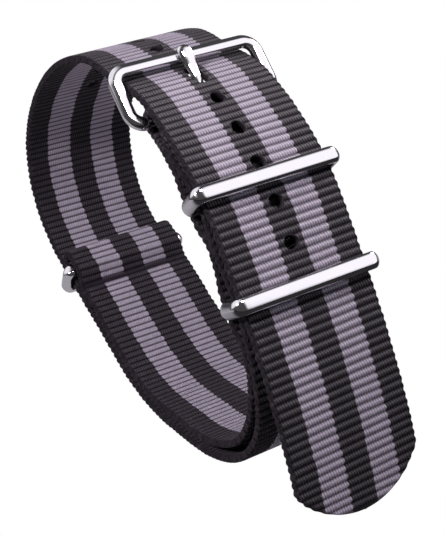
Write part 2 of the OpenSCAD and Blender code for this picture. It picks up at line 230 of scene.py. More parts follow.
def inner_off(s):
    if s < WELD_3:
        return POCKET + (DIP + LAYER - POCKET) * weld(s)
    return main_off(s) + LAYER + SLACK * smooth((s - WELD_3) / SLACK_L)


def wrist_off(s):
    gap = SLACK + (FLAP - SLACK) * smooth((s - FLAP_END + FLAP_LEAD) / FLAP_RAMP)
    return LAYER + gap + (POCKET - LAYER) * smooth((s - REAR_WELD - POCKET_FLAT) / POCKET_RAMP)


def flap_off(s):
    """The folded end of the second webbing lies flat on the main one."""
    return FLAP


# Middle lines of the two webbings
STEP_L = 0.3


def line(s0, s1, off):
    stations = np.linspace(s0, s1, max(2, int(abs(s1 - s0) / STEP_L) + 1))
    return [side(s, off(s)) for s in stations]


def turn_line(middle, a0, a1):
    """The bend of a fold round a bar, without its two ends."""
    return [middle + WRAP_R * course(a) for a in np.linspace(a0, a1, 25)[1:-1]]


def offset_line(points, d):
    p = np.array(points)
    v = np.gradient(p, axis=0)
    v /= np.hypot(*v.T)[:, None]
    return p + d * np.c_[-v[:, 1], v[:, 0]]


MAIN = line(FOLD_END, 0, inner_off)
MAIN += turn_line(side(0, WRAP_R), PIN_DIR + 90, PIN_DIR + 270)
MAIN += line(0, STRAP_L, main_off)
CAP_DIR = heading(REAR_CAP)
SECOND = line(SECOND_START, FLAP_END - FLAP_LEAD - 1, inner_off)
SECOND += line(FLAP_END - FLAP_LEAD, REAR_CAP, wrist_off)
SECOND += turn_line(side(REAR_CAP, FLAP + WRAP_R), CAP_DIR + 90, CAP_DIR - 90)
SECOND += line(REAR_CAP, FLAP_END, flap_off)

# The strap turned so that it stands on the floor, with the row frame's origin under its middle
STANCE = -FLOOR_DIR
SPIN = np.array([[cosd(STANCE), -sind(STANCE)], [sind(STANCE), cosd(STANCE)]])


def stood(p):
    return np.asarray(p) @ SPIN.T


def floor_middle():
    edges = stood(np.vstack([offset_line(MAIN, THICK / 2), offset_line(MAIN, -THICK / 2)]))
    flat_s = sum(piece[0] for piece in WALK[:4]) + REST / 2
    y = (edges[:, 0].min() + edges[:, 0].max()) / 2
    return np.array([y, stood(side(flat_s, -THICK / 2))[1]])


MIDDLE = floor_middle()


def world(p):
    """Section points to Y and Z in the row frame, in millimetres."""
    return stood(p) - MIDDLE


# Mesh helpers
def new_object(name, verts, faces, uv=None):
    """A smooth mesh in metres from arrays in millimetres. All faces have the same count of corners."""
    mesh = bpy.data.meshes.new(name)
    verts, faces = np.asarray(verts, np.float32) * MM, np.asarray(faces, np.int32)
    n, corners = faces.shape
    mesh.vertices.add(len(verts))
    mesh.vertices.foreach_set("co", verts.ravel())
    mesh.loops.add(n * corners)
    mesh.loops.foreach_set("vertex_index", faces.ravel())
    mesh.polygons.add(n)
    mesh.polygons.foreach_set("loop_start", np.arange(n, dtype=np.int32) * corners)
    mesh.polygons.foreach_set("loop_total", np.full(n, corners, np.int32))
    if uv is not None:
        layer = mesh.uv_layers.new(name="cloth")
        layer.data.foreach_set("uv", np.asarray(uv, np.float32)[faces.ravel()].ravel())
    mesh.update(calc_edges=True)
    mesh.validate()
    mesh.polygons.foreach_set("use_smooth", np.ones(len(mesh.polygons), bool))
    obj = bpy.data.objects.new(name, mesh)
    bpy.context.scene.collection.objects.link(obj)
    return obj


def tube_faces(rows, cols, closed_rows):
    """Quads of a grid whose columns close on themselves."""
    i = np.arange(rows if closed_rows else rows - 1)[:, None]
    j = np.arange(cols)[None, :]
    i2, j2 = (i + 1) % rows, (j + 1) % cols
    quads = [i * cols + j, i2 * cols + j, i2 * cols + j2, i * cols + j2]
    return np.stack(quads, -1).reshape(-1, 4)


def round_box(w, h, r, steps):
    """Closed outline of a rounded box, w by h, as (u, v) rows."""
    out = []
    for quarter, (a, b) in enumerate(((1, 1), (-1, 1), (-1, -1), (1, -1))):
        for t in np.linspace(90 * quarter, 90 * quarter + 90, steps):
            out.append((a * (w / 2 - r) + r * cosd(t), b * (h / 2 - r) + r * sind(t)))
    return np.array(out)


def join(objs, name):
    """Joins mesh objects into the first one."""
    bpy.ops.object.select_all(action="DESELECT")
    for obj in objs:
        obj.select_set(True)
    bpy.context.view_layer.objects.active = objs[0]
    bpy.ops.object.join()
    objs[0].name = name
    return objs[0]


def cap_ends(obj, rows, cols):
    """Closes both ends of an open tube with flat faces."""
    mesh = bmesh.new()
    mesh.from_mesh(obj.data)
    mesh.verts.ensure_lookup_table()
    mesh.faces.new([mesh.verts[i] for i in range(cols)])
    mesh.faces.new([mesh.verts[(rows - 1) * cols + i] for i in reversed(range(cols))])
    mesh.to_mesh(obj.data)
    mesh.free()
    for face in list(obj.data.polygons)[-2:]:
        face.use_smooth = False


def sweep(name, path, across, up, outline, closed=True, scale=None):
    """A bar along a path: outline rows are (across, up) offsets, and scale may narrow the first."""
    path, across, up = (np.asarray(v, float) for v in (path, across, up))
    widths = np.ones(len(path)) if scale is None else np.asarray(scale)
    rows = outline if outline.ndim == 3 else outline[None]
    verts = path[:, None, :] + rows[:, :, 0:1] * (across * widths[:, None])[:, None, :]
    verts = verts + rows[:, :, 1:2] * up[:, None, :]
    obj = new_object(name, verts.reshape(-1, 3), tube_faces(len(path), rows.shape[1], closed))
    if not closed:
        cap_ends(obj, len(path), rows.shape[1])
    return obj


# The webbing: its ribs, how they and the selvedges wander, its section, openings and melted lines
RIB, RIB_STEPS, RIB_DEPTH, RIB_SLANT = 1.11, 8, 0.2, -0.02
RIB_WANDER, EDGE_WANDER, EDGE_BUMP, HOLD_L, STAND_HALF = 0.12, 0.09, 0.1, 6.0, 9.0
SELVEDGE_R = 0.5
FLAT_X, FINE_X = WIDTH / 2 - SELVEDGE_R, 1.7
RIM_OUT, RIM_W, RIM_R = 0.12, 0.3, 0.14
SLOT_GAP, SLOT_HALF_L = 0.2, 4.4
MELT_L, REAR_MELT_L, BEAD_IN = 0.5, 0.75, 0.15


class Cloth:
    """A layer's middle line in the row frame, by distance along the cloth."""

    def __init__(self, points):
        p = world(np.array(points))
        d = np.concatenate([[0], np.cumsum(np.hypot(*np.diff(p, axis=0).T))])
        keep = np.concatenate([[True], np.diff(d) > 0.02])
        p, d = p[keep], d[keep]
        self.length = d[-1]
        self.at = np.arange(0, self.length + 0.025, 0.05)
        self.p = np.c_[np.interp(self.at, d, p[:, 0]), np.interp(self.at, d, p[:, 1])]
        v = np.gradient(self.p, axis=0)
        kernel = np.ones(9) / 9
        v = np.c_[[np.convolve(np.pad(c, 4, "edge"), kernel, "valid") for c in v.T]].T
        v /= np.hypot(*v.T)[:, None]
        self.v = v

    def place(self, length, height):
        """Points at distances along the cloth and heights over its outer side."""
        y = np.interp(length, self.at, self.p[:, 0])
        z = np.interp(length, self.at, self.p[:, 1])
        ty = np.interp(length, self.at, self.v[:, 0])
        tz = np.interp(length, self.at, self.v[:, 1])
        return y + tz * height, z - ty * height

    def nearest(self, point):
        d = np.hypot(*(self.p - point).T)
        return float(self.at[d.argmin()])


main_cloth, second_cloth = Cloth(MAIN), Cloth(SECOND)
PIN_L = main_cloth.nearest(world(side(0, WRAP_R) + WRAP_R * course(PIN_DIR + 180)))


def wave(x, seed):
    """A slow smooth wander between -1 and 1."""
    rng = np.random.default_rng(seed)
    out = np.zeros_like(x)
    for k in range(5):
        out += np.sin(x * (0.21 + 0.37 * k) + rng.uniform(0, 6.28)) / (1.4 + k)
    return out / 2.2


def rib_height(length, outer):
    """Waves on the outer side, and broad ribs with narrow grooves on the wrist side and the edges."""
    q = 2 * np.mod(length / RIB, 1.0) - 1
    wave_like = -RIB_DEPTH * (0.5 - 0.5 * np.cos(math.pi * q))
    broad = -RIB_DEPTH * (1 - np.sqrt(1 - 0.94 * q * q))
    return outer * wave_like + (1 - outer) * broad


def ribbon_section():
    """The closed section: x on the flat, reach of the round selvedge, and height from -1 to 1."""
    fine = np.linspace(-FINE_X, FINE_X, 17)
    coarse = np.linspace(FINE_X, FLAT_X, 17)[1:]
    flat = np.concatenate([-coarse[::-1], fine, coarse])
    turn = np.radians(np.linspace(0, 180, 9)[1:-1])
    level, end = np.zeros_like(flat), np.full(len(turn), FLAT_X)
    x = np.concatenate([flat, end, flat[::-1], -end])
    reach = np.concatenate([level, SELVEDGE_R * np.sin(turn), level, -SELVEDGE_R * np.sin(turn)])
    height = np.concatenate([level + 1, np.cos(turn), level - 1, -np.cos(turn)])
    return x, reach, height


def selvedge_wander(x, reach, length, seed):
    """How far the selvedges stand out: a bump at each rib, and a slow wander of each side."""
    ripple = EDGE_BUMP * np.cos(2 * math.pi * length / RIB)
    bumps = np.where(np.abs(reach) > 0.01, np.sign(reach) * ripple, 0)
    sides = np.sign(x)
    return bumps + sides * EDGE_WANDER * wave(length * 1.6 + 9 * sides, seed) * np.abs(x) / 10


def rib_course(x, length, total, seed):
    """Lengths moved a little, so that the ribs slant and wander, but not at the two ends."""
    hold = np.clip(np.minimum(length, total - length) / HOLD_L, 0, 1)
    wander = RIB_WANDER * wave(length * 0.9 + 0.25 * x, seed + 1) * wave(x * 0.8, seed + 2)
    return np.clip(length + hold * (RIB_SLANT * x + wander), 0, total)


def ribbon(name, cloth, half_width, melted, seed, cut=None):
    """Ribbed webbing along a cloth: a closed band with rounded selvedges and melted lines."""
    section_x, reach, section_h = ribbon_section()
    rows, cols = int(cloth.length / RIB * RIB_STEPS) + 1, len(section_x)
    length = np.linspace(0, cloth.length, rows)[:, None] + np.zeros(cols)
    half = np.array([half_width(v) for v in length[:, 0]])[:, None]
    x = section_x * (half - SELVEDGE_R) / FLAT_X + reach
    stand = selvedge_wander(section_x, reach, length, seed) * np.minimum(1, half / STAND_HALF)
    moved = rib_course(x, length, cloth.length, seed)
    melt = melted(x, length, half)
    ribs = rib_height(length, (section_h > 0.95) * 1.0) * np.where(np.abs(section_h) > 0.95, 1.0, 0.45)
    height = THICK / 2 * section_h + np.sign(section_h) * ribs * (1 - 0.75 * melt)
    y, z = cloth.place(moved, height * (1 - 0.3 * melt))
    faces = tube_faces(rows, cols, False)
    if cut:
        faces = faces[~cut(x.reshape(-1)[faces].mean(1), moved.reshape(-1)[faces].mean(1))]
    verts = np.stack([x + stand, y, z], -1).reshape(-1, 3)
    web = new_object(name, verts, faces, np.stack([x, length], -1).reshape(-1, 2) / 10)
    for title, values in (("melt", melt), ("outer", 0.5 + 0.5 * section_h + 0 * x)):
        layer = web.data.attributes.new(title, "FLOAT", "POINT")
        layer.data.foreach_set("value", values.reshape(-1).astype(np.float32))
    return web


def melted_lines(cloth, lines=()):
    """A mask of the melted ends, lines across and, on a narrowed end, the cut edge."""

    def mask(x, length, half):
        left = cloth.length - length
        out = np.exp(-((np.minimum(length, left) / MELT_L) ** 4))
        for at, reach in lines:
            wander = at + 0.15 * wave(x * 0.7, int(at))
            out = np.maximum(out, np.exp(-(((length - wander) / reach) ** 4)))
        narrowed = np.clip((WIDTH / 2 - half - 0.6) / 0.4, 0, 1)
        rim_band = np.clip(1.6 - (half - np.abs(x)) / 0.45, 0, 1)
        return np.maximum(out, narrowed * rim_band * (left < TIP_R))

    return mask


def main_half(length):
    """Half the width of the main webbing: drawn in towards the pin, and round at the tip."""
    half = WIDTH / 2 - NIP * smooth((NIP_END - abs(length - PIN_L)) / NIP_RAMP)
    left = main_cloth.length - length
    if left < TIP_R:
        half = min(half, math.sqrt(max(0.04, TIP_R**2 - (TIP_R - left) ** 2)))
    return half


def full_half(length):
    """Half the width of the second webbing, the same all along."""
    return WIDTH / 2


def find_holes():
    """The place along the cloth and the length of each adjustment hole. The one in use is stretched."""
    spots = []
    for k in range(-HOLES_ABOVE, HOLES_BELOW + 1):
        s = LOOP_L - HOLE_UP + k * HOLE_PITCH
        spots.append((main_cloth.nearest(world(side(s, -lift(s)))), HOLE_L if k == 0 else HOLE_D))
    return spots


hole_spots = find_holes()


def main_cut(x, length):
    """Where the main webbing is open: the slot for the tang's roll and the adjustment holes."""
    out = (np.abs(x) < TANG_W / 2 + SLOT_GAP) & (np.abs(length - PIN_L) < SLOT_HALF_L)
    for spot, size in hole_spots:
        along = np.maximum(0, np.abs(length - spot) - (size - HOLE_D) / 2)
        out |= np.hypot(x, along) < HOLE_D / 2 + RIM_OUT
    return out


rear_melt = second_cloth.nearest(world(side(REAR_WELD, wrist_off(REAR_WELD))))
main_web = ribbon("main_webbing", main_cloth, main_half, melted_lines(main_cloth), 3, main_cut)
second_melt = melted_lines(second_cloth, [(rear_melt, REAR_MELT_L)])
second_web = ribbon("second_webbing", second_cloth, full_half, second_melt, 8)


# Sealed nylon: the rims of the holes and the beads of the welds
def cloth_path(cloth, x, length):
    """Points laid on a cloth, and the directions up from it."""
    y, z = cloth.place(length, 0 * length)
    y1, z1 = cloth.place(length, 1 + 0 * length)
    return np.c_[x, y, z], np.c_[0 * y1, y1 - y, z1 - z]


def rim(name, cloth, spot, size):
    """The sealed rim of a hole."""
    a = np.radians(np.arange(0, 360, 12))
    reach = HOLE_D / 2 + RIM_OUT
    along = reach * np.sin(a) + np.sign(np.sin(a) + 1e-9) * (size - HOLE_D) / 2
    rng = np.random.default_rng(int(spot * 10))
    wobble = 1 + 0.05 * np.sin(2 * a + rng.uniform(0, 6)) + 0.03 * np.sin(3 * a + rng.uniform(0, 6))
    path, up = cloth_path(cloth, reach * np.cos(a) * wobble, spot + along * wobble)
    across = path - path.mean(0)
    across -= (across * up).sum(1)[:, None] * up
    across /= np.linalg.norm(across, axis=1)[:, None]
    return sweep(name, path, across, up, round_box(RIM_W, THICK - RIM_W, RIM_R, 4))


def weld_bead(name, s, off, w, h):
    """Melted nylon that has run out between two layers, right across the webbing."""
    x = np.linspace(-WIDTH / 2 + BEAD_IN, WIDTH / 2 - BEAD_IN, 60)
    middle, a = world(side(s, off)), heading(s) + STANCE
    swell = 1 + 0.12 * wave(x * 1.7, int(s * 7))
    stray = 0.06 * wave(x, 5)
    path = np.c_[x, middle[0] + stray * cosd(a), middle[1] + stray * sind(a)]
    along = np.c_[0 * x, cosd(a) * swell, sind(a) * swell]
    out = np.c_[0 * x, -sind(a) * swell, cosd(a) * swell]
    return sweep(name, path, along, out, round_box(w, h, min(w, h) / 2.2, 5), closed=False)


def between_layers(s):
    return (main_off(s) + inner_off(s)) / 2


rims = [rim(f"hole_rim_{k}", main_cloth, spot, size) for k, (spot, size) in enumerate(hole_spots)]
hole_rims = join(rims, "hole_rims")
beads = [
    weld_bead("bead_1", WELD_1, between_layers(WELD_1), 1.6, 0.5),
    weld_bead("bead_2", WELD_2, inner_off(WELD_2), 0.9, 1.0),
    weld_bead("bead_3", WELD_2 - 0.8, between_layers(WELD_2), 1.6, 0.5),
    weld_bead("bead_4", WELD_3 + 1, between_layers(WELD_3), 1.2, 0.5),
    weld_bead("bead_5", REAR_WELD, (FLAP + wrist_off(REAR_WELD)) / 2, 1.4, 0.5),
]
weld_beads = join(beads, "weld_beads")


# Materials
class Nodes:
    """Short calls that add shader nodes to a tree."""

    def __init__(self, tree):
        self.tree = tree

    def feed(self, socket, value):
        """Sets a socket to a plain value, or links it to another node."""
        if isinstance(value, (int, float, tuple)):
            socket.default_value = value
        else:
            self.tree.links.new(value, socket)

    def new(self, kind, inputs=(), **settings):
        node = self.tree.nodes.new("ShaderNode" + kind)
        for title, value in settings.items():
            setattr(node, title, value)
        for key, value in dict(inputs).items():
            self.feed(node.inputs[key], value)
        return node

    def calc(self, operation, *values, clamp=False):
        return self.new("Math", enumerate(values), operation=operation, use_clamp=clamp).outputs[0]

    def product(self, first, *others):
        for value in others:
            first = self.calc("MULTIPLY", first, value)
        return first

    def rest(self, value):
        return self.calc("SUBTRACT", 1.0, value)

    def between(self, share, a, b):
        """Goes from a to b as share goes from 0 to 1."""
        return self.calc("ADD", self.product(b, share), self.product(a, self.rest(share)))

    def mix(self, share, a, b):
        """Goes from colour a to colour b as share goes from 0 to 1."""
        return self.new("Mix", {0: share, 6: a, 7: b}, data_type="RGBA").outputs[2]

    def ramp(self, value, a, b, lo, hi):
        """Goes smoothly from lo to hi as the value goes from a to b."""
        inputs = {"Value": value, "From Min": a, "From Max": b, "To Min": lo, "To Max": hi}
        return self.new("MapRange", inputs, interpolation_type="SMOOTHSTEP").outputs["Result"]

    def noise(self, scale, detail, vector=None):
        inputs = {"Scale": scale, "Detail": detail}
        if vector is not None:
            inputs["Vector"] = vector
        return self.new("TexNoise", inputs).outputs["Fac"]

    def bump(self, height, strength, distance):
        inputs = {"Strength": strength, "Distance": distance, "Height": height}
        return self.new("Bump", inputs).outputs[0]

    def attribute(self, title):
        return self.new("Attribute", attribute_name=title).outputs["Fac"]


def material(name):
    """A new material, its node calls and its surface node."""
    made = bpy.data.materials.new(name)
    made.use_nodes = True
    return made, Nodes(made.node_tree), made.node_tree.nodes["Principled BSDF"]


def finish_surface(k, surface, values):
    for title, value in values.items():
        k.feed(surface.inputs[title], value)


STEEL_COLOUR = (0.85, 0.83, 0.86, 1)
STEEL_ROUGH = 0.11


def steel_material():
    """Polished steel, a little smeared by handling and a little uneven."""
    made, k, surface = material("polished_steel")
    place = k.new("TexCoord").outputs["Object"]
    smear, grain = k.noise(350, 3.0, place), k.noise(4000, 2.0, place)
    handled = k.calc("MULTIPLY_ADD", grain, 0.3, k.product(smear, 0.7))
    finish_surface(k, surface, {
        "Metallic": 1.0,
        "Base Color": STEEL_COLOUR,
        "Roughness": k.ramp(handled, 0.32, 0.68, STEEL_ROUGH * 0.6, STEEL_ROUGH * 1.5),
        "Normal": k.bump(k.noise(300, 1.0, place), 0.1, 0.00004),
    })
    return made


# The woven nylon: places in millimetres, and colours of little and much worn cloth
YARN, YARN_LEAN = 0.405, -0.2
STRIPE_INNER, STRIPE_OUTER, STRIPE_SHARP = 2.14, 6.1, 9.0
BLACK_NEW, BLACK_WORN = (0.022, 0.0175, 0.024, 1), (0.036, 0.030, 0.039, 1)
GREY_NEW, GREY_WORN = (0.30, 0.264, 0.33, 1), (0.375, 0.333, 0.405, 1)
RUBBED_COLOUR = (0.085, 0.075, 0.09, 1)
# Near black: the painted shade in the webbing's grooves, and the dark of the lumps on sealed nylon
GROOVE_SHADE_AND_LUMP_COLOUR = (0.004, 0.003, 0.004, 1)
MELTED_COLOUR = (0.012, 0.0085, 0.014, 1)
SEALED_COLOUR = (0.016, 0.012, 0.017, 1)


def yarn_strokes(k, x, share, row):
    """Yarns that lean along the rib and step by half a yarn from rib to rib."""
    leaning = k.calc("ADD", x, k.product(share, YARN_LEAN))
    step = k.product(k.calc("MODULO", row, 2.0), 0.5)
    count = k.calc("ADD", k.calc("DIVIDE", leaning, YARN), step)
    return k.ramp(k.calc("SINE", k.product(count, 2 * math.pi)), -0.6, 0.85, 0.0, 1.0)


def grey_stripes(k, x, crest, row):
    """1 on the two grey stripes and 0 on the black ones, with borders that step from rib to rib."""
    stray = k.new("TexWhiteNoise", {"W": row}, noise_dimensions="1D").outputs[0]
    place = k.calc("ADD", k.calc("ABSOLUTE", x), k.calc("MULTIPLY_ADD", stray, 0.16, -0.08))
    bow = k.product(crest, 0.2)
    past_inner = k.calc("SUBTRACT", k.calc("ADD", place, bow), STRIPE_INNER)
    before_outer = k.calc("SUBTRACT", STRIPE_OUTER, k.calc("SUBTRACT", place, bow))
    inner = k.calc("MULTIPLY_ADD", past_inner, STRIPE_SHARP, 0.5, clamp=True)
    outer = k.calc("MULTIPLY_ADD", before_outer, STRIPE_SHARP, 0.5, clamp=True)
    return k.product(inner, outer)


def dyed_colour(k, x, place, grey):
    """Black and grey yarn, worn in patches and rubbed pale along the selvedges."""
    worn = k.noise(5.0, 3.0, place)
    dyed = k.mix(grey, k.mix(worn, BLACK_NEW, BLACK_WORN), k.mix(worn, GREY_NEW, GREY_WORN))
    by_edge = k.ramp(k.calc("ABSOLUTE", x), 9.0, 9.9, 0.0, 0.5)
    patchy = k.ramp(k.noise(9.0, 4.0, place), 0.45, 0.7, 0, 1)
    return k.mix(k.product(by_edge, patchy), dyed, RUBBED_COLOUR)


def painted_rib_and_yarn_shade(k, crest, outer, edge, yarn, fuzz):
    """Painted light on the rib crests and painted shade in the grooves, a flat painted half shade on the
    selvedges, painted highlights along the yarns with painted shade between them, and random hairs.
    """
    # Painted light and shade of the ribs: lighter on the crests, darker in the grooves
    broad = k.ramp(crest, 0.1, 0.75, 0.2, 1.0)
    waved = k.ramp(crest, 0.15, 0.95, 0.4, 1.2)
    ribs = k.between(edge, k.between(outer, broad, waved), 0.5)
    depth = k.calc("MULTIPLY_ADD", outer, 0.3, 0.12)
    # Painted yarn light: the colour is darkened between the yarns and left light along them
    painted_yarn_light = k.rest(k.product(depth, k.rest(yarn)))
    return k.product(ribs, painted_yarn_light, k.ramp(fuzz, 0.3, 0.7, 0.86, 1.12))


def webbing_material():
    """Woven nylon with five stripes, ribs and yarns with painted light and shade, and melted lines."""
    made, k, surface = material("ribbed_nylon")
    cloth = k.new("UVMap", uv_map="cloth").outputs[0]
    split = k.new("SeparateXYZ", {0: cloth})
    x, length = (k.product(split.outputs[i], 10.0) for i in (0, 1))
    melt, outer = k.attribute("melt"), k.attribute("outer")
    ribs = k.calc("DIVIDE", length, RIB)
    share, row = k.calc("FRACT", ribs), k.calc("FLOOR", ribs)
    crest = k.calc("SINE", k.product(share, math.pi))
    yarn = yarn_strokes(k, x, share, row)
    edge = k.ramp(k.calc("ABSOLUTE", x), 9.3, 9.8, 0.0, 1.0)
    fuzz = k.noise(150.0, 3.0, cloth)
    painted_shade = painted_rib_and_yarn_shade(k, crest, outer, edge, yarn, fuzz)
    # The dyed colour is pulled towards the near-black groove colour by the painted rib and yarn shade
    woven = k.mix(painted_shade, GROOVE_SHADE_AND_LUMP_COLOUR, dyed_colour(k, x, cloth, grey_stripes(k, x, crest, row)))
    gloss = k.product(k.ramp(crest, 0.2, 0.9, 0.05, 0.8), k.calc("MULTIPLY_ADD", yarn, 0.6, 0.3))
    faced = k.product(k.calc("MULTIPLY_ADD", outer, 0.75, 0.25), k.rest(edge))
    relief = k.product(yarn, k.ramp(crest, 0.0, 0.6, 0.2, 1.0), k.rest(melt))
    finish_surface(k, surface, {
        "Base Color": k.mix(melt, woven, MELTED_COLOUR),
        "Roughness": k.ramp(melt, 0.2, 0.9, 0.56, 0.36),
        "Specular IOR Level": k.product(gloss, faced),
        "Sheen Weight": 0.04,
        "Sheen Roughness": 0.45,
        "Normal": k.bump(k.calc("ADD", relief, k.product(fuzz, 0.35)), 0.5, 0.00016),
    })
    return made


def sealed_material():
    """Melted nylon, dark and lumpy."""
    made, k, surface = material("sealed_nylon")
    lump = k.noise(1500, 2.0)
    finish_surface(k, surface, {
        "Base Color": k.mix(lump, GROOVE_SHADE_AND_LUMP_COLOUR, SEALED_COLOUR),
        "Roughness": k.ramp(lump, 0.3, 0.7, 0.45, 0.65),
        "Specular IOR Level": 0.14,
    })
    return made


web_mat = webbing_material()
seal_mat = sealed_material()
steel_mat = steel_material()
for piece in (main_web, second_web):
    piece.data.materials.append(web_mat)
for piece in (hole_rims, weld_beads):
    piece.data.materials.append(seal_mat)


# Steel pieces, built in the local frame of a station: X across, Y up the strap, Z outward
def placer(s, off, tilt=0.0):
    """A function from points of the local frame to the row frame."""
    middle = world(side(s, off))
    a = heading(s) + 180 + STANCE + tilt
    c, d = cosd(a), sind(a)

    def place(p):
        return np.c_[p[:, 0], middle[0] + p[:, 1] * c - p[:, 2] * d, middle[1] + p[:, 1] * d + p[:, 2] * c]

    return place


def turned(place, v):
    """Directions of the local frame in the row frame."""
    return place(np.asarray(v, float)) - place(np.zeros((1, 3)))


def corner_path(cx, cy, r, a0, a1):
    return [(cx + r * cosd(a), cy + r * sind(a)) for a in np.linspace(a0, a1, 13)]


def path_normals(p, closed):
    v = np.roll(p, -1, 0) - np.roll(p, 1, 0) if closed else np.gradient(p, axis=0)
    v /= np.hypot(*v.T)[:, None]
    return np.c_[v[:, 1], -v[:, 0]]


def softened(corners, d):
    """An outline with each corner cut back by d and rounded."""
    p = np.array(corners, float)
    out = []
    for a, b, c in zip(np.roll(p, 1, 0), p, np.roll(p, -1, 0)):
        u, v = (a - b) / np.hypot(*(a - b)), (c - b) / np.hypot(*(c - b))
        for t in np.linspace(0, 1, 5):
            out.append(b + u * d * (1 - t) ** 2 + v * d * t**2)
    return np.array(out)


# The section of a ring's bar is rounded as a narrower one and then drawn wide
RING_EDGE_R, RING_DRAWN = 0.7, 0.74


def ring_line():
    """The middle line of a ring's bar, seen along the strap."""
    x, r = RING_X, RING_BEND + RING_T / 2
    straight = np.linspace(-x + r + 0.6, x - r - 0.6, 9)
    p = corner_path(x - r, RING_PITCH - r, r, 0, 90) + [(v, RING_PITCH) for v in straight[::-1]]
    p += corner_path(-x + r, RING_PITCH - r, r, 90, 180) + corner_path(-x + r, r, r, 180, 270)
    p += [(v, 0) for v in straight] + corner_path(x - r, r, r, 270, 360)
    return np.array(p)


def ring(name, s, off, body):
    """A bent ring whose ends are half round, seen from outside."""
    place = placer(s, off)
    p = ring_line()
    n = path_normals(p, True)
    zero = 0 * p[:, 0]
    outline = round_box(RING_T, RING_W * RING_DRAWN, RING_EDGE_R, 8) * (1, 1 / RING_DRAWN)
    path, out = np.c_[p[:, 0], zero, p[:, 1]], np.c_[n[:, 0], zero, n[:, 1]]
    along = np.c_[zero, zero + 1, zero]
    local = path[:, None, :] + outline[None, :, 0:1] * out[:, None, :]
    local = (local + outline[None, :, 1:2] * along[:, None, :]).reshape(-1, 3)
    end_x = RING_X + RING_T / 2 - RING_W / 2
    end = np.clip((np.abs(local[:, 0]) - end_x) / (RING_W / 2), 0, 0.985)
    local[:, 1] *= np.sqrt(1 - end**2)
    obj = new_object(name, place(local), tube_faces(len(p), len(outline), True))
    obj.data.materials.append(steel_mat)
    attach(obj, body)
    return obj


upper = ring("upper_ring_steel", UPPER_S, RING_IN, "upper_ring")
lower = ring("lower_ring_steel", LOWER_S, RING_IN, "lower_ring")
rear = ring("rear_ring_steel", REAR_S, FLAP + WRAP_R, "rear_ring")
for piece, node in ((upper, "keeper_upper"), (lower, "keeper_lower"), (rear, "keeper_rear")):
    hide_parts(node)


# The frame's bar: the bevels of its back, and how far its corners are softened
BEVEL, SOFTENED = 0.45, 0.2


def frame_line():
    """The middle line of the frame's bar, from one end of the pin round to the other."""
    x = WIDTH / 2 + FRAME_GAP + BAR_W / 2
    heel = WIDTH / 2 - NIP + HEEL_GAP
    p = [(heel, 0)] + corner_path(x - HEEL_R, HEEL_R, HEEL_R, 270, 360)
    p += corner_path(x - CORNER_R, FREE_BAR - CORNER_R, CORNER_R, 0, 90)
    p += [(v, FREE_BAR) for v in (6, 3, 0, -3, -6)]
    p += corner_path(-x + CORNER_R, FREE_BAR - CORNER_R, CORNER_R, 90, 180)
    p += corner_path(-x + HEEL_R, HEEL_R, HEEL_R, 180, 270) + [(-heel, 0)]
    return np.array(p)


def frame_section(outer_z, outer_x, inner_x, inner_z):
    """A bar with two slopes on its face and bevels on its back, as (away from the opening, outward)."""
    w, t = BAR_W / 2, BAR_T / 2
    face = [(w, outer_z), (outer_x, t), (inner_x, t), (-w, inner_z)]
    back = [(-w, BEVEL - t), (BEVEL - w, -t), (w - BEVEL, -t), (w, BEVEL - t)]
    return softened(face + back, SOFTENED)


def buckle_frame():
    """The frame: its free bar slopes more on the outer side than its arms do."""
    place = placer(0, WRAP_R, TILT)
    p = frame_line()
    n = path_normals(p, False)
    zero = 0 * p[:, 0]
    arm, free = frame_section(0.42, 0.42, -0.42, 0.48), frame_section(0.3, 0.15, -0.66, 0.5)
    k = np.clip(n[:, 1], 0, 1)[:, None, None]
    section = arm[None] * (1 - k) + free[None] * k
    across, up = turned(place, np.c_[n, zero]), turned(place, np.c_[zero, zero, zero + 1])
    return sweep("buckle_frame_steel", place(np.c_[p, zero]), across, up, section, closed=False)


frame_steel = buckle_frame()
frame_steel.data.materials.append(steel_mat)
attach(frame_steel, "buckle")
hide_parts("buckle_frame")


def tang_line():
    """The middle line of the tang, from its roll up and over the free bar, and the length along it."""
    rise = BAR_T / 2 + TANG_GAP + TANG_T / 2
    points = [(1, 0.5), (1.95, 1.6), (2.95, 2.55), (3.9, 3.05), (5, 3.42)]
    for past, over in ((-1.2, -0.08), (-0.5, 0), (0.3, 0), (0.8, -0.13), (TANG_OVER, -TANG_HOOK)):
        y, z = FREE_BAR + past, rise + over
        points.append((y * cosd(TILT) - z * sind(TILT), y * sind(TILT) + z * cosd(TILT)))
    points = np.array(points)
    d = np.concatenate([[0], np.cumsum(np.hypot(*np.diff(points, axis=0).T))])
    along = np.linspace(0, d[-1], 40)
    p = np.c_[np.interp(along, d, points[:, 0]), np.interp(along, d, points[:, 1])]
    for _ in range(10):
        p[1:-1] = (p[:-2] + 2 * p[1:-1] + p[2:]) / 4
    return p, along


def tang_arm(place):
    """The tang's arm, oval across, widening to a round tip."""
    p, along = tang_line()
    total = along[-1]
    n = -path_normals(p, False)
    widths = np.interp(along, total * np.array([0, 0.45, 0.8, 1]), [TANG_W, TANG_W, TANG_TIP, TANG_TIP])
    near_tip = np.clip(1 - (total - along) / (TANG_TIP / 2), 0, 1)
    tip = np.sqrt(np.clip(1 - near_tip**2, 0.03, 1))
    zero = 0 * along
    turn = np.linspace(0, 2 * math.pi, 41)[:-1]
    oval = np.c_[0.5 * np.cos(turn), TANG_T / 2 * np.sin(turn)]
    across = turned(place, np.c_[zero + 1, zero, zero])
    up = turned(place, np.c_[zero, n]) * tip[:, None] ** 0.8
    return sweep("tang_arm", place(np.c_[zero, p]), across, up, oval, closed=False, scale=widths * tip)


